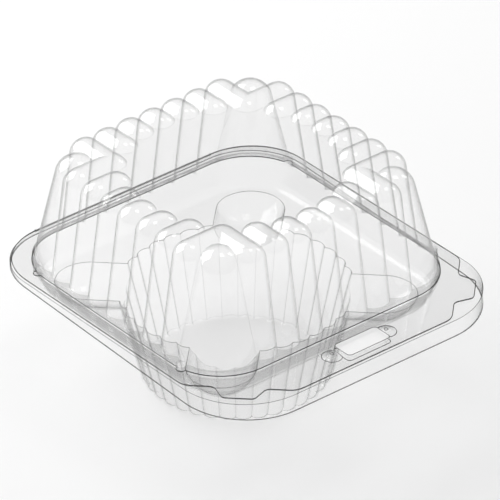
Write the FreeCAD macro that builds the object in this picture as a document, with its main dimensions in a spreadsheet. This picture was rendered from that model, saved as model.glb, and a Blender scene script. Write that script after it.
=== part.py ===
import FreeCAD, Part

import math
import os

# Clear clamshell pack for one large muffin: a base tray with a fluted cup
# and a fluted dome lid, folded along the back edge. Millimetres, +Z up.
# The origin lies on the table under the middle of the cup. The latch faces -Y.

V = FreeCAD.Vector
X_AXIS = V(1, 0, 0)
Z_AXIS = V(0, 0, 1)

os.makedirs("parts", exist_ok=True)
doc = FreeCAD.newDocument("clamshell_pack")

# Driving sizes
sheet = doc.addObject("Spreadsheet::Sheet", "sizes")
SIZES = [
    ("film", 0.4, "wall of the formed sheet"),
    ("gap", 0.25, "air between the closed lid and the base"),
    ("rimheight", 39.5, "table to the top of the base flange"),
    ("trayhalf", 52.15, "middle to the inner edge of the flange"),
    ("trayround", 19.8, "corner radius of that inner edge"),
    ("sidewidth", 5.65, "width of the flange at the sides"),
    ("backwidth", 5.45, "width of the flange at the back"),
    ("frontwidth", 17.65, "width of the flange at the front"),
    ("backround", 21.5, "corner radius of the flange at the back"),
    ("frontround", 25.0, "corner radius of the flange at the front"),
    ("skirtdepth", 3.4, "depth of the turned-down edge beside the middle"),
    ("skirtslope", 0.038, "growth of that depth toward the front, per millimetre"),
    ("lidinset", 0.7, "step from the base edge in to the lid edge"),
    ("lidback", 0.49, "the same step at the fold"),
    ("cutdepth", 17.9, "square front corner of the lid in to its slanted cut"),
    ("tabreach", 6.0, "length of the lift tab"),
    ("tabroot", 16.5, "width of the lift tab where it starts"),
    ("tabtip", 10.2, "width of the lift tab at its end"),
    ("traydepth", 8.4, "flange down to the deck"),
    ("walldraft", 3.85, "lean of the tray wall over its depth"),
    ("deckfillet", 2.0, "rounding between the deck and its wall"),
    ("cuprim", 38.65, "outer radius of the cup at the deck"),
    ("cupdraft", 7.05, "lean of the cup wall over its depth"),
    ("cupcurve", 1.2, "rounding of the cup floor edge"),
    ("cuprib", 1.25, "depth of one cup flute"),
    ("cupribs", 36, "number of cup flutes"),
    ("pocketradius", 11.84, "radius of a finger pocket"),
    ("pocketaxis", 4.56, "flange down to the axis of a finger pocket"),
    ("pocketinset", 6.41, "inner edge of the flange in to the end of a pocket, on the diagonal"),
    ("bandheight", 1.9, "plain band at the foot of the dome"),
    ("footinset", 6.25, "inner edge of the flange in to a flute axis at the foot"),
    ("walllean", 5.1, "lean of a flute axis from the foot to the shoulder"),
    ("shoulderheight", 33.5, "flange up to the flute axis at the shoulder"),
    ("pitchshare", 0.2267, "flute spacing as a share of the middle to the shoulder"),
    ("fluteshare", 0.599, "flute radius as a share of the flute spacing"),
    ("panelstep", 0.3, "creases between level flutes down to the centre panel"),
    ("coreinset", 0.6, "shoulder in to the plain core at the panel"),
    ("corestep", 1.5, "flute axis at the foot out to the plain core"),
    ("lobeshare", 3.849, "middle to the axis of a corner lobe, in flute spacings"),
    ("lobeledge", 0.6, "band out of a corner lobe at the foot"),
    ("crownshare", 1.336, "ball on a corner lobe as a share of the flute radius"),
    ("lobedrop", 2.4, "shoulder down to the centre of that ball"),
    ("lugradius", 1.6, "radius of a snap lug on the foot band"),
    ("lugplace", 36.3, "middle plane to a snap lug, along the side"),
    ("latchhalf", 8.9, "half width of the latch button"),
    ("latchlength", 8.6, "length of the latch button from back to front"),
    ("latchinset", 7.0, "front edge of the base in to the centre of the latch button"),
    ("latchheight", 2.2, "height of the latch button"),
    ("dimpleradius", 4.6, "radius of the round boss at each end of the latch button"),
    ("dimpleheight", 0.9, "height of that boss"),
    ("dimplestep", 2.2, "end of the latch button out to the middle of the boss"),
    ("hingeradius", 0.35, "radius of the fold along the back edge"),
    ("hingestep", 0.1, "back edge of the base out to the axis of the fold"),
]
for row, (name, value, note) in enumerate(SIZES, start=1):
    sheet.set("A%d" % row, note)
    sheet.set("B%d" % row, str(value))
    sheet.setAlias("B%d" % row, name)
doc.recompute()


def size(name):
    return float(sheet.get(name))


# Places that follow from the sizes
film = size("film")
gap = size("gap")
rim = size("rimheight")
lid_floor = rim + gap
deck = rim - size("traydepth")
tray_half = size("trayhalf")
side_reach = tray_half + size("sidewidth")
back_reach = tray_half + size("backwidth")
front_reach = tray_half + size("frontwidth")
flute_foot = tray_half - size("footinset")
shoulder_reach = flute_foot - size("walllean")
pitch = size("pitchshare") * shoulder_reach
lobe_centre = size("lobeshare") * pitch
latch_middle = size("latchinset") - front_reach

# Inner ends of the flutes, from the middle one outward, in flute spacings
FLUTE_ENDS = (4.11, 4.01, 3.63, 3.0)

# Expressions that follow the sheet
PITCH = "sizes.pitchshare * (sizes.trayhalf - sizes.footinset - sizes.walllean)"
FLUTE_RADIUS = "sizes.fluteshare * " + PITCH
CROWN_RADIUS = "sizes.crownshare * " + FLUTE_RADIUS


# Outlines

def rounded_outline(corners, radii, height):
    """Closed wire through the corners, each one rounded with its own radius."""
    count = len(corners)
    points = [V(x, y, height) for x, y in corners]
    spans = []
    for i, corner in enumerate(points):
        before = (points[i - 1] - corner).normalize()
        after = (points[(i + 1) % count] - corner).normalize()
        half_angle = before.getAngle(after) / 2
        reach = radii[i] / math.tan(half_angle)
        middle = (before + after).normalize()
        depth = radii[i] / math.sin(half_angle) - radii[i]
        spans.append((corner + before * reach, corner + middle * depth, corner + after * reach))
    edges = []
    for i, (start, middle, end) in enumerate(spans):
        edges.append(Part.Arc(start, middle, end).toShape())
        following = spans[(i + 1) % count][0]
        if end.distanceToPoint(following) > 1e-6:
            edges.append(Part.makeLine(end, following))
    return Part.Wire(edges)


def square_outline(half, radius, height):
    corners = [(half, half), (-half, half), (-half, -half), (half, -half)]
    return rounded_outline(corners, [radius] * 4, height)


def flange_outline(inset, height):
    """Edge of the base flange, moved inward by the inset."""
    side = side_reach - inset
    back = back_reach - inset
    front = inset - front_reach
    corners = [(side, back), (-side, back), (-side, front), (side, front)]
    rear = size("backround") - inset
    fore = size("frontround") - inset
    return rounded_outline(corners, [rear, rear, fore, fore], height)


def lid_outline(height):
    """Edge of the lid flange with its cut front corners and lift tabs."""
    inset = size("lidinset")
    side = side_reach - inset
    back = back_reach - size("lidback")
    front = front_reach - inset
    cut = side + front - size("cutdepth") * math.sqrt(2)
    middle = V((side + cut - front) / 2, -(front + cut - side) / 2, 0)
    outward = V(1, -1, 0).normalize()
    along = V(1, 1, 0).normalize()
    root = along * (size("tabroot") / 2)
    tip = along * (size("tabtip") / 2)
    reach = outward * size("tabreach")
    right = [
        (V(cut - front, -front, 0), 6.0),
        (middle - root, 2.4),
        (middle - tip + reach, 2.0),
        (middle + tip + reach, 2.0),
        (middle + root, 2.4),
        (V(side, side - cut, 0), 6.0),
        (V(side, back, 0), size("backround") - inset),
    ]
    left = [(V(-point.x, point.y, 0), radius) for point, radius in reversed(right)]
    ring = right + left
    return rounded_outline([(p.x, p.y) for p, _ in ring], [r for _, r in ring], height)


def plate(wire, thickness):
    return Part.Face(wire).extrude(V(0, 0, thickness))


def tapered_block(low, high):
    """Solid between two square outlines given as (half, radius, height)."""
    return Part.makeLoft([square_outline(*low), square_outline(*high)], True, True)


def block(x0, x1, y0, y1, z0, z1):
    return Part.makeBox(x1 - x0, y1 - y0, z1 - z0, V(x0, y0, z0))


# Document objects

def bound(kind, label, place, **sizes):
    """Primitive solid whose sizes follow expressions on the sheet."""
    item = doc.addObject(kind, label)
    for key, expression in sizes.items():
        item.setExpression(key, expression)
    item.Placement = place
    return item


def formed(label, shape):
    """Solid that no primitive gives, such as a plate with a rounded outline."""
    item = doc.addObject("Part::Feature", label)
    item.Shape = shape
    return item


def union(label, members):
    item = doc.addObject("Part::MultiFuse", label)
    item.Shapes = members
    return item


def difference(label, body, tool):
    item = doc.addObject("Part::Cut", label)
    item.Base = body
    item.Tool = tool
    item.Label = label
    return item


def toward(start, direction):
    """Placement that starts at a point with its Z along the direction."""
    return FreeCAD.Placement(start, FreeCAD.Rotation(Z_AXIS, direction))


# Base tray

def tray_bowl(grow, top):
    """Shallow tray below the flange; grow is the wall added outside."""
    slope = size("walldraft") / size("traydepth")
    foot = deck - grow
    centre = tray_half - size("trayround")
    half_foot = tray_half - size("walldraft") + (1 - slope) * grow
    half_top = tray_half + slope * (top - rim) + grow
    bowl = tapered_block((half_foot, half_foot - centre, foot), (half_top, half_top - centre, top))
    edges = [e for e in bowl.Edges if e.BoundBox.ZMax < foot + 0.01]
    return bowl.makeFillet(size("deckfillet") + grow, edges)


def fluted_wire(radius, height, rib):
    """Ring of outward-bulging arcs, one for each cup flute."""
    count = int(size("cupribs"))
    step = 2 * math.pi / count

    def spot(angle, distance):
        return V(distance * math.cos(angle), distance * math.sin(angle), height)

    arcs = []
    for i in range(count):
        start = spot(i * step, radius - rib)
        crest = spot((i + 0.5) * step, radius)
        end = spot((i + 1) * step, radius - rib)
        arcs.append(Part.Arc(start, crest, end).toShape())
    return Part.Wire(arcs)


def cup_body(shrink, floor, top):
    """Fluted cup; shrink is the wall taken off for the cavity."""
    curve = size("cupcurve")
    knee = film + curve
    taper = size("cupdraft") / (deck - knee)
    rib = size("cuprib")

    def radius_at(height):
        return size("cuprim") + taper * (height - deck) - shrink

    foot = radius_at(knee)
    sections = [
        fluted_wire(foot - curve, floor, rib),
        fluted_wire(foot - 0.3 * curve, floor + 0.3 * curve, rib),
        fluted_wire(foot, knee, rib),
        fluted_wire(radius_at(top), top, rib),
    ]
    return Part.makeLoft(sections, True, True)


def finger_pockets(name, radius):
    """Four capsules on the diagonals that open into the cup."""
    height = rim - size("pocketaxis")
    start = size("cuprim") / 2
    corner = math.sqrt(2) * (tray_half - size("trayround")) + size("trayround")
    end = corner - size("pocketinset") - size("pocketradius")
    capsules = []
    for quarter in range(4):
        turn = FreeCAD.Rotation(Z_AXIS, 45 + 90 * quarter)
        outward = turn.multVec(X_AXIS)
        first = toward(outward * start + V(0, 0, height), outward)
        last = toward(outward * end + V(0, 0, height), outward)
        length = str(end - start)
        capsules.append(bound("Part::Cylinder", name + "_rod", first, Radius=radius, Height=length))
        capsules.append(bound("Part::Sphere", name + "_end", last, Radius=radius, Angle1="0"))
    return capsules


def skirt():
    """Turned-down edge, deep at the latch and shallow at the hinge."""
    deep = 12.0
    wide = 200.0
    outer = plate(flange_outline(0, rim - deep), deep)
    ring = outer.cut(plate(flange_outline(film, rim - deep), deep))
    keep = Part.makeBox(wide, wide, wide, V(-wide / 2, -wide / 2, 0))
    lean = math.degrees(math.atan(size("skirtslope")))
    keep.Placement = FreeCAD.Placement(V(0, 0, rim - size("skirtdepth")), FreeCAD.Rotation(X_AXIS, lean))
    return ring.common(keep)


def latch_block(half, length, low, high):
    """Slightly tapered button on the front flange."""
    def wire(inset, height):
        x = half - inset
        rear = latch_middle + length / 2 - inset
        fore = latch_middle - length / 2 + inset
        corners = [(x, rear), (-x, rear), (-x, fore), (x, fore)]
        return rounded_outline(corners, [1.4] * 4, height)

    return Part.makeLoft([wire(0, low), wire(0.15 * (high - low), high)], True, True)


def hinge_fold():
    """Thin fold of the sheet along the back edge, on the hinge axis."""
    straight = "2 * (sizes.trayhalf + sizes.sidewidth - sizes.backround)"
    start = V(size("backround") - side_reach, back_reach + size("hingestep"), rim + gap / 2)
    place = toward(start, X_AXIS)
    return bound("Part::Cylinder", "hinge_fold", place, Radius="sizes.hingeradius", Height=straight)


def base_tray():
    above = rim + 1.0
    half = size("latchhalf") - film - 2 * gap
    length = size("latchlength") - 2 * film - 4 * gap
    button_top = lid_floor + size("latchheight") - film - 2 * gap
    button_hollow = latch_block(half - film, length - 2 * film, rim - 2 * film, button_top - film)
    outside = [
        formed("base_flange", plate(flange_outline(0, rim - film), film)),
        formed("tray_outside", tray_bowl(film, rim)),
        formed("cup_outside", cup_body(0, 0, rim - film)),
        formed("skirt", skirt()),
        formed("base_button", latch_block(half, length, rim - film, button_top)),
        hinge_fold(),
    ]
    pockets = union("pocket_walls", finger_pockets("pocket_wall", "sizes.pocketradius + sizes.film"))
    trimmed = doc.addObject("Part::Common", "pockets_below_flange")
    trimmed.Base = pockets
    trimmed.Tool = formed("below_flange", block(-70, 70, -70, 70, 1, rim - film / 2))
    inside = [
        formed("tray_inside", tray_bowl(0, above)),
        formed("cup_inside", cup_body(film, film, above)),
        formed("button_inside", button_hollow),
    ]
    inside += finger_pockets("pocket", "sizes.pocketradius")
    return difference("base_tray", union("base_outside", outside + [trimmed]), union("base_inside", inside))


# Dome lid

def flute_path(number):
    """Foot, shoulder and end point of one flute on the front side."""
    offset = number * pitch
    reach = FLUTE_ENDS[abs(number)] * pitch
    low = lid_floor + size("bandheight")
    high = lid_floor + size("shoulderheight")
    return V(offset, -flute_foot, low), V(offset, -shoulder_reach, high), V(offset, -reach, high)


def wedge_place(centre, before, after):
    """Placement of a ball wedge that rounds the outside of a bend."""
    spin = before.cross(after).normalize()
    outer = before.cross(spin).normalize()
    side = spin.cross(outer)
    turn = FreeCAD.Rotation(outer, side, spin, "ZXY")
    return FreeCAD.Placement(centre, turn)


def flute(name, number, quarter, radius):
    """Leaning rod, ball wedge at the shoulder, level rod and round end."""
    turn = FreeCAD.Rotation(Z_AXIS, 90 * quarter)
    foot, shoulder, end = [turn.multVec(p) for p in flute_path(number)]
    rise = (shoulder - foot).normalize()
    inward = (end - shoulder).normalize()
    below = size("bandheight") + 4
    lean = "sizes.walllean"
    climb = "(sizes.shoulderheight - sizes.bandheight)"
    wall_length = "sqrt(%s^2 + %s^2) + sizes.bandheight + 4" % (lean, climb)
    roof_length = str(shoulder.distanceToPoint(end))
    bend = "90 - atan(%s / %s) / 1deg" % (lean, climb)
    wall_start = toward(foot - rise * below, rise)
    roof_start = toward(shoulder, inward)
    bend_place = wedge_place(shoulder, rise, inward)
    pieces = [
        bound("Part::Cylinder", name + "_wall", wall_start, Radius=radius, Height=wall_length),
        bound("Part::Cylinder", name + "_roof", roof_start, Radius=radius, Height=roof_length),
        bound("Part::Sphere", name + "_shoulder", bend_place, Radius=radius, Angle3=bend),
    ]
    if abs(number) < 3:
        pieces.append(bound("Part::Sphere", name + "_end", toward(end, inward), Radius=radius, Angle1="0"))
    if number == 3:
        elbow_place = wedge_place(end, inward, turn.multVec(X_AXIS))
        pieces.append(bound("Part::Sphere", name + "_elbow", elbow_place, Radius=radius, Angle3="90"))
    return pieces


def lobe(name, quarter, wall, low):
    """Corner lobe: a cone that runs smoothly into a ball."""
    flute_radius = size("fluteshare") * pitch
    crown = size("crownshare") * flute_radius
    climb = size("shoulderheight") - size("lobedrop") - size("bandheight")
    corner = tray_half - size("trayround") - lobe_centre
    foot = corner * math.sqrt(2) + size("trayround") - size("lobeledge")
    lean = math.acos(crown / math.hypot(foot, climb)) - math.atan(climb / foot)
    ball = crown - wall
    centre_height = lid_floor + size("shoulderheight") - size("lobedrop")
    joint = centre_height + ball * math.sin(lean)
    top_radius = ball * math.cos(lean)
    low_radius = top_radius + (joint - low) * math.tan(lean)
    turn = FreeCAD.Rotation(Z_AXIS, 90 * quarter)
    spot = turn.multVec(V(lobe_centre, lobe_centre, 0))
    cone = bound("Part::Cone", name + "_cone", FreeCAD.Placement(spot + V(0, 0, low), turn),
                 Radius1=str(low_radius), Radius2=str(top_radius), Height=str(joint - low))
    ball_place = FreeCAD.Placement(spot + V(0, 0, centre_height), turn)
    cap = bound("Part::Sphere", name + "_ball", ball_place,
                Radius="%s - %s" % (CROWN_RADIUS, wall), Angle1=str(math.degrees(lean)))
    return [cone, cap]


def dome_core(wall, low):
    """Plain tapered block behind the flutes, up to the centre panel."""
    top_half = shoulder_reach - size("coreinset")
    foot_half = flute_foot + size("corestep")
    crease = math.sqrt((size("fluteshare") * pitch) ** 2 - (pitch / 2) ** 2)
    panel = size("shoulderheight") + crease - size("panelstep")
    slope = (foot_half - top_half) / panel
    foot = foot_half - wall + slope * (lid_floor - low)
    top = top_half - wall
    high = lid_floor + panel - wall
    return tapered_block((foot, foot - lobe_centre, low), (top, top - lobe_centre, high))


def snap_lugs(name, wall, low):
    """Small round bulges on the foot band that click into the base."""
    turns = [(sx, sy) for sx in (-1, 1) for sy in (-1, 1)]
    arc_centre = tray_half - size("trayround")
    along = size("lugplace")
    out = arc_centre + math.sqrt(size("trayround") ** 2 - (along - arc_centre) ** 2)
    height = lid_floor - low + size("bandheight") + size("lugradius") / 2 - wall
    radius = "sizes.lugradius - %s" % wall
    lugs = []
    for sx, sy in turns:
        place = FreeCAD.Placement(V(sx * out, sy * along, low), FreeCAD.Rotation())
        lugs.append(bound("Part::Cylinder", name + "_lug", place, Radius=radius, Height=str(height)))
    return lugs


def latch_bosses(name, wall, low):
    """Round bosses with sloping sides at both ends of the latch button."""
    slope = 0.6 * size("dimpleradius") / size("dimpleheight")
    top = lid_floor + film + size("dimpleheight") - wall
    wide = size("dimpleradius") - wall
    narrow = wide - slope * (top - low)
    bosses = []
    for side in (-1, 1):
        spot = V(side * (size("latchhalf") + size("dimplestep")), latch_middle + 1.5, low)
        cone = bound("Part::Cone", name + "_boss", FreeCAD.Placement(spot, FreeCAD.Rotation()),
                     Radius1=str(wide), Radius2=str(narrow), Height=str(top - low))
        bosses.append(cone)
    return bosses


def dome(name, wall, low):
    """All solids of the dome, with the wall taken off for the inside."""
    radius = "%s - %s" % (FLUTE_RADIUS, wall)
    band = square_outline(tray_half - wall, size("trayround") - wall, low)
    height = lid_floor + size("bandheight") - wall - low
    members = [
        formed(name + "_band", plate(band, height)),
        formed(name + "_core", dome_core(wall, low)),
    ]
    for quarter in range(4):
        members += lobe(name + "_lobe", quarter, wall, low)
        for number in range(-3, 4):
            members += flute(name + "_flute", number, quarter, radius)
    return members


def lid_dome():
    low = lid_floor - 1.0
    half = size("latchhalf")
    length = size("latchlength")
    top = lid_floor + size("latchheight")
    dome_members = dome("outside", 0.0, lid_floor) + snap_lugs("outside", 0.0, lid_floor)
    dome_solid = union("dome_outside", dome_members)
    above = doc.addObject("Part::Common", "dome_above_flange")
    above.Base = dome_solid
    above.Tool = formed("above_flange", block(-70, 70, -70, 70, lid_floor, lid_floor + 60))
    outside = [
        above,
        formed("lid_flange", plate(lid_outline(lid_floor), film)),
        formed("lid_button", latch_block(half, length, lid_floor, top)),
    ]
    outside += latch_bosses("outside", 0.0, lid_floor)
    inside = dome("inside", film, low) + snap_lugs("inside", film, low)
    inside += latch_bosses("inside", film, lid_floor)
    inside.append(formed("lid_button_inside", latch_block(half - film, length - 2 * film, low, top - film)))
    return difference("lid_dome", union("lid_outside", outside), union("lid_inside", inside))


nodes = [base_tray(), lid_dome()]
doc.recompute()

for item in doc.Objects:
    if "Invalid" in item.State or "Error" in item.State:
        raise RuntimeError("%s did not build" % item.Label)
for node in nodes:
    if node.Shape.isNull() or not node.Shape.isValid() or len(node.Shape.Solids) != 1:
        raise RuntimeError("%s is not one sound solid" % node.Label)

for node in nodes:
    node.Shape.exportStep("parts/%s.step" % node.Label)
    box = node.Shape.BoundBox
    print(node.Label, round(node.Shape.Volume, 1), "mm3,", len(node.Shape.Faces), "faces,", box)
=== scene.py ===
# %% [markdown]
# # A clear clamshell pack for one muffin
# The pack is one formed sheet of clear polyester, 0.4 mm thick. The CAD model
# gives its shape, and this lesson gives it a clear material, soft studio light
# and the photograph's camera. Everything is in metres, with +Z up. The box of
# the CAD model is measured first, so the dressed model can be kept inside it.

import math

import bmesh
import bpy
from mathutils import Matrix, Vector


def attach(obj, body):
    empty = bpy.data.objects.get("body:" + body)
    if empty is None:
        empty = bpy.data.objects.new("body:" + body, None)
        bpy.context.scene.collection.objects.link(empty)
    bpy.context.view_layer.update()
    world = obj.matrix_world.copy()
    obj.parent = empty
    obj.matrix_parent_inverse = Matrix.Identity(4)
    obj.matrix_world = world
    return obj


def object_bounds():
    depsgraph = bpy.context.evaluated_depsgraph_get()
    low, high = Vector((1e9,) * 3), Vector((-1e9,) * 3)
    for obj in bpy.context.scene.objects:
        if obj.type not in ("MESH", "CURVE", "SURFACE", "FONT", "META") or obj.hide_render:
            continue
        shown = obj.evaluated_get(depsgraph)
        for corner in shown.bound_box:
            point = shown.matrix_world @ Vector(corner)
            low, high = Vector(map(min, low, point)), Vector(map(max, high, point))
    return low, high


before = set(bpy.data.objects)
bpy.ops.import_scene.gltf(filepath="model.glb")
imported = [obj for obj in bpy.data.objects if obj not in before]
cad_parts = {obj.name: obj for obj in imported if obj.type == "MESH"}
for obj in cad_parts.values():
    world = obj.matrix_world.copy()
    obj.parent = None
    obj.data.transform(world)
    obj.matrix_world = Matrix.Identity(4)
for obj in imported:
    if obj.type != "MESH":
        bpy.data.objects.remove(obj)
cad_low, cad_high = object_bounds()
print("CAD box in mm:", [round(v * 1000, 1) for v in cad_low], [round(v * 1000, 1) for v in cad_high])


# %% [markdown]
# ## Helpers
# Colours are easiest to read as sRGB hex values, but a shader wants linear
# light. One function does that change for every material. Another adds a node,
# sets its options and fills its inputs, either with a value or with a link, so
# that each material reads as a short list.

# %% Helpers for colours and nodes
def linear(hex_code):
    """Linear RGBA of an sRGB hex colour such as 'f2f4f5'."""
    parts = [int(hex_code[i:i + 2], 16) / 255 for i in (0, 2, 4)]
    return [v / 12.92 if v <= 0.04045 else ((v + 0.055) / 1.055) ** 2.4 for v in parts] + [1.0]


def add_node(tree, kind, inputs=None, **settings):
    """Adds one node. Each input takes a value or a link from another node."""
    node = tree.nodes.new(kind)
    for key, value in settings.items():
        setattr(node, key, value)
    for key, value in (inputs or {}).items():
        if isinstance(value, bpy.types.NodeSocket):
            tree.links.new(value, node.inputs[key])
        else:
            node.inputs[key].default_value = value
    return node


print("Mid grey 808080 is", round(linear("808080")[0], 3), "in linear light")

# %% [markdown]
# ## How a thin clear sheet mirrors
# The sheet is far thinner than the pack, so light goes straight through it and
# is not bent. What shows is the shine: seen head-on one face mirrors 5% of the
# light, and seen at a flat look nearly all of it. That follows from the index
# of refraction, 1.57 for polyester. A thin sheet casts almost no shadow, as
# what it mirrors at one place lights another, so shadow rays skip the mirror.

# %% Share of mirrored light
INDEX = 1.57
HEAD_ON = ((INDEX - 1) / (INDEX + 1)) ** 2


def mirrored_share(tree, facing, mirror):
    """Mirrored share by the angle. mirror counts the faces that shine."""
    steep = add_node(tree, "ShaderNodeMath", {0: facing, 1: 5.0}, operation="POWER")
    rest = min(mirror, 1) * (1 - mirror * HEAD_ON)
    share = {0: steep.outputs[0], 1: rest, 2: mirror * HEAD_ON}
    mirrored = add_node(tree, "ShaderNodeMath", share, operation="MULTIPLY_ADD")
    shadow = add_node(tree, "ShaderNodeLightPath").outputs["Is Shadow Ray"]
    lit = add_node(tree, "ShaderNodeMath", {0: 1.0, 1: shadow}, operation="SUBTRACT")
    both = {0: mirrored.outputs[0], 1: lit.outputs[0]}
    return add_node(tree, "ShaderNodeMath", both, operation="MULTIPLY").outputs[0]


print("Head-on one face mirrors", round(HEAD_ON * 100, 1), "% of the light")


# %% [markdown]
# ## Painted shade on the walls
# The upright walls get a painted grey shade, the darker the flatter they are
# seen, for the darker room that the real walls show there. A wall is a band
# between two heights, inside the flange. Object coordinates pick it out, so it
# moves with its body.

# %% Share of a wall's painted shade
def smooth_edge(tree, value, outside, inside):
    """0 on the outside and 1 on the inside of a border, with a short ramp."""
    ends = {"Value": value, "From Min": outside, "From Max": inside}
    return add_node(tree, "ShaderNodeMapRange", ends).outputs["Result"]


# Share of painted wall shade at a point, by its place and the angle.
def wall_shade_share(tree, place, facing, low, high, flatness):
    spot = add_node(tree, "ShaderNodeSeparateXYZ", {0: place})
    forward = add_node(tree, "ShaderNodeMath", {0: spot.outputs["Y"]}, operation="ABSOLUTE")
    sideways = add_node(tree, "ShaderNodeMath", {0: spot.outputs["X"]}, operation="ABSOLUTE")
    ways = {0: forward.outputs[0], 1: sideways.outputs[0]}
    reach = add_node(tree, "ShaderNodeMath", ways, operation="MAXIMUM").outputs[0]
    share = add_node(tree, "ShaderNodeMath", {0: facing, 1: flatness}, operation="POWER").outputs[0]
    borders = [
        smooth_edge(tree, reach, 0.0540, 0.0535),
        smooth_edge(tree, spot.outputs["Z"], low, low + 0.0003),
        smooth_edge(tree, spot.outputs["Z"], high, high - 0.0002),
    ]
    for border in borders:
        share = add_node(tree, "ShaderNodeMath", {0: share, 1: border}, operation="MULTIPLY").outputs[0]
    return share


print("Walls are tinted within 53.5 mm of the middle")


# %% [markdown]
# ## Clear polyester sheet
# Clear light passes with a slight tint. Towards a flat look the tint turns to
# a painted dark shade, which draws a dark line round every flute where a real
# sheet bends the darker room into view. The mirrored part comes from a gloss
# whose surface waves by 0.05 mm, as formed sheet does. Haze mixes in a milky
# white part.

# %% Sheet material
def sheet_material(name, tint, flank_shade_tint, mirror=1.0, roughness=0.05, haze=0.0, wall=None):
    """Thin clear sheet. wall is (low, high, tint, flatness) of a band of painted wall shade."""
    material = bpy.data.materials.new(name)
    material.use_nodes = True
    tree = material.node_tree
    tree.nodes.clear()
    facing = add_node(tree, "ShaderNodeLayerWeight", {"Blend": 0.5}).outputs["Facing"]
    place = add_node(tree, "ShaderNodeTexCoord").outputs["Object"]
    plain = add_node(tree, "ShaderNodeMix", {0: 0.0, 6: linear(tint), 7: linear(tint)}, data_type="RGBA")
    if wall:
        low, high, wall_shade_tint, flatness = wall
        # Painted shade: in the wall band the clear tint turns to a darker grey.
        plain.inputs[7].default_value = linear(wall_shade_tint)
        tree.links.new(wall_shade_share(tree, place, facing, low, high, flatness), plain.inputs[0])
    # Painted shade: towards a flat look the colour darkens to the given dark tint.
    flank_shade = add_node(tree, "ShaderNodeMath", {0: facing, 1: 5.5}, operation="POWER").outputs[0]
    tones = {0: flank_shade, 6: plain.outputs[2], 7: linear(flank_shade_tint)}
    tone = add_node(tree, "ShaderNodeMix", tones, data_type="RGBA").outputs[2]
    wave = add_node(tree, "ShaderNodeTexNoise", {"Vector": place, "Scale": 60.0, "Detail": 2.0})
    relief = {"Height": wave.outputs["Fac"], "Strength": 1.0, "Distance": 0.00005}
    bump = add_node(tree, "ShaderNodeBump", relief).outputs["Normal"]
    clear = add_node(tree, "ShaderNodeBsdfTransparent", {"Color": tone}).outputs[0]
    shine = add_node(tree, "ShaderNodeBsdfGlossy", {"Normal": bump, "Roughness": roughness}).outputs[0]
    share = mirrored_share(tree, facing, mirror)
    surface = add_node(tree, "ShaderNodeMixShader", {0: share, 1: clear, 2: shine}).outputs[0]
    if haze:
        milk = add_node(tree, "ShaderNodeBsdfDiffuse", {"Normal": bump, "Color": linear("ffffff")}).outputs[0]
        surface = add_node(tree, "ShaderNodeMixShader", {0: haze, 1: surface, 2: milk}).outputs[0]
    add_node(tree, "ShaderNodeOutputMaterial", {"Surface": surface})
    return material


print("sheet_material() builds every material of the pack")

# %% [markdown]
# ## The materials
# The lid stands out of the base, so its front skin shines with both its faces.
# The back skin adds only a trace, because the front skin already stands for
# the sheet. The cut edge is dark, as there one looks along the sheet. The
# creases are painted shade lines, lighter on the flutes and darker at the foot
# of the dome, the rims and the latch.

# %% Make the materials
# The lid and base sheets paint grey shade on their wall bands and dark shade on their flanks.
lid_sheet = sheet_material("clear_polyester_lid", "fefefe", "101010", mirror=1.9, wall=(0.0402, 0.0418, "cccccc", 0.5))
base_sheet = sheet_material("clear_polyester_base", "fefefe", "101010", wall=(0.0333, 0.0392, "b8b8b8", 2.0))
back_skin = sheet_material("clear_polyester_back", "ffffff", "e8e8e8", mirror=0.1)
latch_sheet = sheet_material("clear_polyester_latch", "fefefe", "101010", roughness=0.2, haze=0.6)
cut_edge = sheet_material("polyester_cut_edge", "8a8a8a", "404040", roughness=0.2)
# The creases and lines below are painted shade: grey tubes, faint on the flutes and near black at the foot.
flute_shade_line = sheet_material("polyester_flute_crease", "fcfcfc", "dcdcdc", roughness=0.1)
cup_shade_line = sheet_material("polyester_cup_crease", "fafafa", "d4d4d4", roughness=0.1)
rim_shade_tube = sheet_material("polyester_rim_line", "909090", "505050", roughness=0.15)
foot_shade_tube = sheet_material("polyester_foot_line", "404040", "202020", roughness=0.15)
deck_shade_tube = sheet_material("polyester_deck_line", "b0b0b0", "606060", roughness=0.15)
latch_shade_tube = sheet_material("polyester_latch_line", "707070", "303030", roughness=0.15)
print("Materials:", [m.name for m in bpy.data.materials if "polyester" in m.name])


# %% [markdown]
# ## Front skin, back skin and cut edge
# Each half is a closed solid with two skins, 0.4 mm apart, that meet only at
# the cut edge round its flange. Two skins would draw every line twice. Faces
# that hang together without crossing the cut edge are gathered into groups,
# and the group with the most area looking up is the front skin.

# %% Sort the faces
def in_band(polygon, mesh, low, high):
    heights = [mesh.vertices[i].co.z * 1000 for i in polygon.vertices]
    return min(heights) > low and max(heights) < high


def is_lid_edge(polygon, mesh):
    return abs(polygon.normal.z) < 0.3 and in_band(polygon, mesh, 39.7, 40.2)


def is_base_edge(polygon, mesh):
    away = polygon.center.xy.length * 1000 > 56
    return away and polygon.normal.z < -0.9 and in_band(polygon, mesh, 31.5, 38.6)


def joined_faces(mesh, skipped):
    """Groups of faces that hang together, without crossing the skipped ones."""
    leader = {}

    def root(key):
        while leader.setdefault(key, key) != key:
            leader[key] = leader[leader[key]]
            key = leader[key]
        return key

    spots = [tuple(round(v * 1e6) for v in vertex.co) for vertex in mesh.vertices]
    kept = [polygon for polygon in mesh.polygons if polygon.index not in skipped]
    for polygon in kept:
        first = root(spots[polygon.vertices[0]])
        for i in polygon.vertices:
            leader[root(spots[i])] = first
    groups = {}
    for polygon in kept:
        groups.setdefault(root(spots[polygon.vertices[0]]), []).append(polygon)
    return list(groups.values())


def upward_area(group):
    return sum(polygon.area for polygon in group if polygon.normal.z > 0.9)


print("Faces are sorted by the skin they hang together with")

# %% [markdown]
# ## Dress the two halves
# Every face gets one of four materials. The flat top of the latch button looks
# milky white, so it takes the latch material with its milky part.

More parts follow.
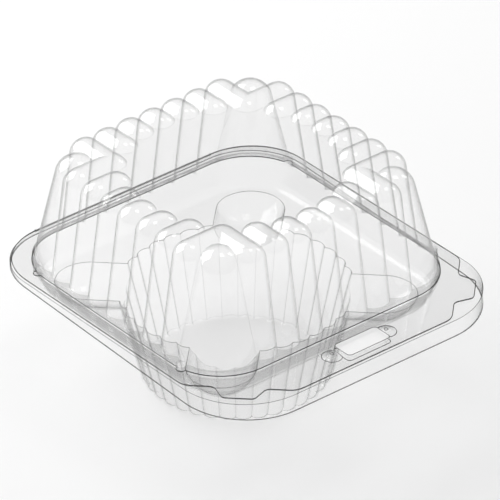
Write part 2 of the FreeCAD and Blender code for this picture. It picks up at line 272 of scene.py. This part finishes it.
# %% Dress the base and the lid
FRONT, EDGE, BACK, LATCH = range(4)


def on_button(polygon):
    x, y, z = polygon.center * 1000
    return abs(x) < 9.2 and -67.5 < y < -58 and z > 40.2 and polygon.normal.z > 0.9


for name, sheet, is_edge in (("lid_dome", lid_sheet, is_lid_edge), ("base_tray", base_sheet, is_base_edge)):
    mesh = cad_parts[name].data
    mesh.materials.clear()
    for material in (sheet, cut_edge, back_skin, latch_sheet):
        mesh.materials.append(material)
    edge = {polygon.index for polygon in mesh.polygons if is_edge(polygon, mesh)}
    groups = joined_faces(mesh, edge)
    front = max(groups, key=upward_area)
    for group in groups:
        for polygon in group:
            polygon.material_index = FRONT if group is front else BACK
    for i in edge:
        mesh.polygons[i].material_index = EDGE
    if name == "lid_dome":
        for polygon in front:
            if on_button(polygon):
                polygon.material_index = LATCH
    areas = [round(sum(polygon.area for polygon in group) * 1e6) for group in groups]
    print(name, len(mesh.polygons), "faces,", len(edge), "on the cut edge, skins of", areas, "mm2")


# %% [markdown]
# ## Creases
# Where two flutes meet, the hot sheet is pulled into a sharp groove of the
# mould and comes out as a fine line that catches the dark side of the room.
# Here that line is painted shade, a thin grey tube along the crease. The lines
# follow the sharp edges of the front skin, so no drawing is needed.

# %% Find the sharp edges
def sharp_edges(node_name, wanted, sharp=35.0):
    """Points and edge pairs along the sharp front edges that wanted() takes."""
    source = bmesh.new()
    source.from_mesh(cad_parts[node_name].data)
    bmesh.ops.remove_doubles(source, verts=source.verts, dist=1e-6)
    points, pairs = {}, []
    for edge in source.edges:
        if len(edge.link_faces) != 2 or edge.calc_face_angle(0) < math.radians(sharp):
            continue
        if any(face.material_index == BACK for face in edge.link_faces):
            continue
        spot = (edge.verts[0].co + edge.verts[1].co) / 2
        if wanted(spot * 1000):
            pairs.append([points.setdefault(v.index, len(points)) for v in edge.verts])
    source.verts.ensure_lookup_table()
    places = [source.verts[i].co.copy() for i in points]
    source.free()
    return places, pairs


print("An edge counts as sharp from a bend of 35 degrees")


# %% [markdown]
# ## Creases as hair-thin tubes
# The edges become a curve with a round bevel and then a mesh again. A tube on
# the outermost edge would stand out of the CAD box by half its thickness, so
# its points are held inside that box. Each tube rides on the body it follows.

# %% Turn the edges into tubes
def crease_tubes(name, body, material, thickness, edges):
    places, pairs = edges
    lines = bpy.data.meshes.new(name)
    lines.from_pydata(places, pairs, [])
    tubes = bpy.data.objects.new(name, lines)
    bpy.context.collection.objects.link(tubes)
    for other in bpy.context.selected_objects:
        other.select_set(False)
    bpy.context.view_layer.objects.active = tubes
    tubes.select_set(True)
    bpy.ops.object.convert(target="CURVE")
    tubes.data.bevel_depth = thickness / 2
    tubes.data.bevel_resolution = 0
    bpy.ops.object.convert(target="MESH")
    for vertex in tubes.data.vertices:
        vertex.co = [min(max(v, a), b) for v, a, b in zip(vertex.co, cad_low, cad_high)]
    tubes.data.materials.clear()
    tubes.data.materials.append(material)
    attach(tubes, body)
    print(name, len(pairs), "edges,", len(tubes.data.polygons), "faces")


print("Tubes stay inside the CAD box")


# %% [markdown]
# ## Where each kind of line runs
# Small tests on a point, in millimetres, tell the rims, the foot of the dome,
# the latch, the flutes, the deck and the cup apart. The flange begins 53.5 mm
# from the middle, the deck lies at 31.1 mm and the lid flange ends at 40.15 mm.

# %% Tests for the places
def outreach(spot):
    return max(abs(spot.x), abs(spot.y), spot.xy.length - 16)


def on_latch(spot):
    return abs(spot.x) < 16 and -69 < spot.y < -56


def on_rim(spot):
    return outreach(spot) > 53.5 and abs(spot.z - 40) < 9 and not on_latch(spot)


def on_foot(spot):
    return outreach(spot) <= 53.5 and 39.0 < spot.z < 40.4


def on_flutes(spot):
    return spot.z >= 40.4 and not on_latch(spot)


def on_deck(spot):
    return abs(spot.z - 31.1) < 0.3


def on_cup(spot):
    return spot.z <= 39.0 and outreach(spot) <= 53.5 and not on_deck(spot)


print("The cup's own flutes lie on the cup:", on_cup(Vector((30, 0, 20))))

# %% [markdown]
# ## Draw the lines
# The foot of the dome and the edge of the lid are the darkest lines of the
# photograph, and the creases of the flutes and of the cup the faintest. The
# bosses beside the latch slope gently, so there a bend of 15 degrees counts.

# %% Add the creases
crease_tubes("lid_flute_creases", "lid", flute_shade_line, 0.00015, sharp_edges("lid_dome", on_flutes))
crease_tubes("lid_latch_creases", "lid", latch_shade_tube, 0.00025, sharp_edges("lid_dome", on_latch, 15.0))
crease_tubes("lid_rim_line", "lid", foot_shade_tube, 0.00028, sharp_edges("lid_dome", on_rim))
crease_tubes("lid_foot_line", "lid", foot_shade_tube, 0.0004, sharp_edges("lid_dome", on_foot))
crease_tubes("base_cup_creases", "base", cup_shade_line, 0.0002, sharp_edges("base_tray", on_cup))
crease_tubes("base_deck_line", "base", deck_shade_tube, 0.0002, sharp_edges("base_tray", on_deck))
crease_tubes("base_rim_line", "base", rim_shade_tube, 0.0002, sharp_edges("base_tray", on_rim))

# %% [markdown]
# ## Floor
# The photograph is a bright cut-out on white. A plain pale floor gives the
# same even ground and keeps a faint shadow. It lies a hair below the cup.

# %% Floor
floor_material = bpy.data.materials.new("white_studio_floor")
floor_material.use_nodes = True
floor_shader = floor_material.node_tree.nodes["Principled BSDF"]
floor_shader.inputs["Base Color"].default_value = linear("f2f2f2")
floor_shader.inputs["Roughness"].default_value = 0.9
floor_shader.inputs["Specular IOR Level"].default_value = 0.0
FLOOR_REACH = 30.0
corners = [(-FLOOR_REACH, -FLOOR_REACH, 0), (FLOOR_REACH, -FLOOR_REACH, 0),
           (FLOOR_REACH, FLOOR_REACH, 0), (-FLOOR_REACH, FLOOR_REACH, 0)]
floor_mesh = bpy.data.meshes.new("studio_floor")
floor_mesh.from_pydata(corners, [], [(0, 1, 2, 3)])
floor_mesh.materials.append(floor_material)
floor = bpy.data.objects.new("studio_floor", floor_mesh)
floor.location.z = -0.0003
bpy.context.collection.objects.link(floor)
print("Floor", 2 * FLOOR_REACH, "m wide at z =", round(floor.location.z * 1000, 1), "mm")


# %% [markdown]
# ## Soft lights
# The white ovals on the shoulders of the flutes are mirror images of a large
# softbox. Their places on the round shoulders tell where it stands: behind the
# pack, to the left, 33 degrees up. Two small lamps fill in from above and from
# the right.

# %% Soft lights
def softbox(name, place, target, width, height, watts):
    data = bpy.data.lights.new(name, "AREA")
    data.shape = "RECTANGLE"
    data.size, data.size_y, data.energy = width, height, watts
    lamp = bpy.data.objects.new(name, data)
    lamp.location = place
    lamp.rotation_mode = "QUATERNION"
    lamp.rotation_quaternion = (Vector(target) - Vector(place)).to_track_quat("-Z", "Y")
    bpy.context.collection.objects.link(lamp)


softbox("back_softbox", (-0.41, 1.01, 0.76), (0, 0, 0.05), 1.2, 1.2, 17.0)
softbox("top_softbox", (0.3, -0.1, 1.4), (0, 0, 0.03), 0.5, 0.5, 2.0)
softbox("right_softbox", (1.1, -0.1, 0.8), (0, 0, 0.04), 0.25, 0.5, 1.6)

# %% [markdown]
# ## Room
# The rest of the light comes from a pale room that is a little darker near the
# floor. Its darker part gives the clear walls their soft grey reflections.

# %% Room light
world = bpy.data.worlds.new("studio_room")
world.use_nodes = True
bpy.context.scene.world = world
room = world.node_tree
direction = add_node(room, "ShaderNodeTexCoord").outputs["Generated"]
upward = add_node(room, "ShaderNodeSeparateXYZ", {0: direction}).outputs["Z"]
heights = {"Value": upward, "From Min": 0.05, "From Max": 0.75}
walls = add_node(room, "ShaderNodeMapRange", heights, interpolation_type="SMOOTHSTEP").outputs["Result"]
shades = {0: walls, 6: linear("d8d8d8"), 7: linear("ffffff")}
shade = add_node(room, "ShaderNodeMix", shades, data_type="RGBA").outputs[2]
sky = room.nodes["Background"]
room.links.new(shade, sky.inputs["Color"])
sky.inputs["Strength"].default_value = 0.53
print("Room light strength:", round(sky.inputs["Strength"].default_value, 2))

# %% [markdown]
# ## Camera
# The camera was found by matching the flange, the dome and the cup in the
# photograph: a long lens, 2.3 m away, 33 degrees above the table, looking at
# the near left corner of the pack. The rays pass up to a few dozen clear
# walls, so that many are allowed before a ray ends.

# %% Camera
AZIMUTH, ELEVATION, ROLL = map(math.radians, (38.93, 32.57, -0.67))
DISTANCE = 2.3458
FOCAL_PIXELS = 7328.7
IMAGE = 500
CENTRE_PIXEL = (235.74, 265.43)
SENSOR = 36.0
aim = Vector((0, 0, 0.0395))
flat = math.cos(ELEVATION)
back = Vector((-math.sin(AZIMUTH) * flat, -math.cos(AZIMUTH) * flat, math.sin(ELEVATION)))
level = Vector((math.cos(AZIMUTH), -math.sin(AZIMUTH), 0))
right = math.cos(ROLL) * level + math.sin(ROLL) * back.cross(level)
up = back.cross(right)
camera_data = bpy.data.cameras.new("photo_camera")
camera_data.sensor_width = SENSOR
camera_data.lens = FOCAL_PIXELS / IMAGE * SENSOR
camera_data.shift_x = (IMAGE / 2 - CENTRE_PIXEL[0]) / IMAGE
camera_data.shift_y = (CENTRE_PIXEL[1] - IMAGE / 2) / IMAGE
camera_data.clip_start, camera_data.clip_end = 0.05, 100.0
camera = bpy.data.objects.new("photo_camera", camera_data)
camera.rotation_mode = "QUATERNION"
camera.location = aim + back * DISTANCE
camera.rotation_quaternion = Matrix((right, up, back)).transposed().to_quaternion()
bpy.context.collection.objects.link(camera)
bpy.context.scene.camera = camera
bpy.context.scene.view_settings.view_transform = "Standard"
bpy.context.scene.cycles.transparent_max_bounces = 64
print("Camera at", [round(v, 3) for v in camera.location], "lens", round(camera_data.lens, 1), "mm")
